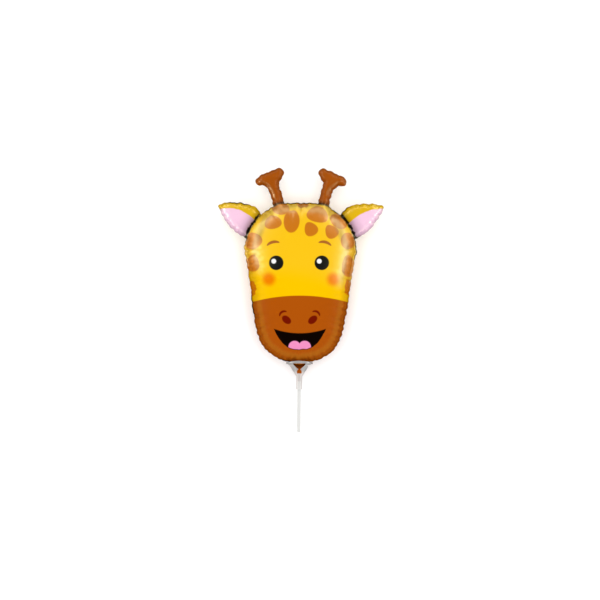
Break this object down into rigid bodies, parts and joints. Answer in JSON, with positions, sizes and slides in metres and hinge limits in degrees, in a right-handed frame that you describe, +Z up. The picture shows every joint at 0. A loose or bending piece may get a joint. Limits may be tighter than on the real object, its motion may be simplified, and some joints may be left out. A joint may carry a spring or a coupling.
{
  "type": "foil balloon",
  "caption": "Inflated foil balloon shaped and printed as a smiling giraffe's head with ears and horns, held by a translucent plastic cup on a straight white stick.",
  "frame": {"origin": "centre of the bounding box's underside, on the flattened spot that the back rests on", "axes": "+Y from the stick towards the horns, +Z up out of the printed face, +X to the side of the ear on the right as the face is looked at"},
  "size_m": [0.2364, 0.3748, 0.1016],
  "materials": {
    "printed_foil": "glossy printed polyester film, yellow with brown spots, brown muzzle and horns",
    "cup_plastic": "translucent frosted moulded plastic",
    "stick_plastic": "satin white extruded plastic"
  },
  "bodies": {
    "root": {"foil_balloon": "printed_foil", "balloon_cup": "cup_plastic", "stick": "stick_plastic"}
  },
  "joints": []
}
